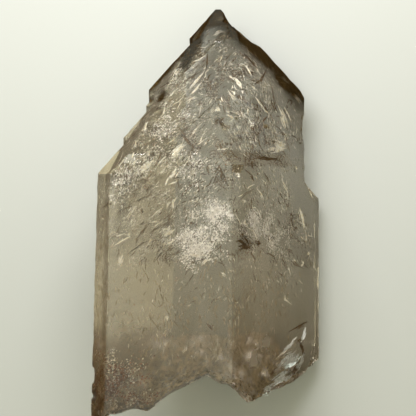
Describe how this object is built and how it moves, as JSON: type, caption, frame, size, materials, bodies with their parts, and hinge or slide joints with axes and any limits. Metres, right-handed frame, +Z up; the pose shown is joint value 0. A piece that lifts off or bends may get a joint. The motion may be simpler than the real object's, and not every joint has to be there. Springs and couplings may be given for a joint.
{
  "type": "smoky quartz crystal",
  "caption": "Natural smoky quartz point with a stepped pyramid tip, six prism faces and a broken foot, lying on its broad back face.",
  "frame": {"origin": "middle of the bounding box at the surface it lies on", "axes": "+Y along the crystal's c-axis towards its tip, +X to its right seen from above, +Z up through its front prism face"},
  "size_m": [0.0418, 0.0804, 0.0295],
  "materials": {
    "smoky_quartz": "clear to hazy, grey-brown, with bright veils and flakes inside"
  },
  "bodies": {
    "root": {"crystal": "smoky_quartz"}
  },
  "joints": []
}
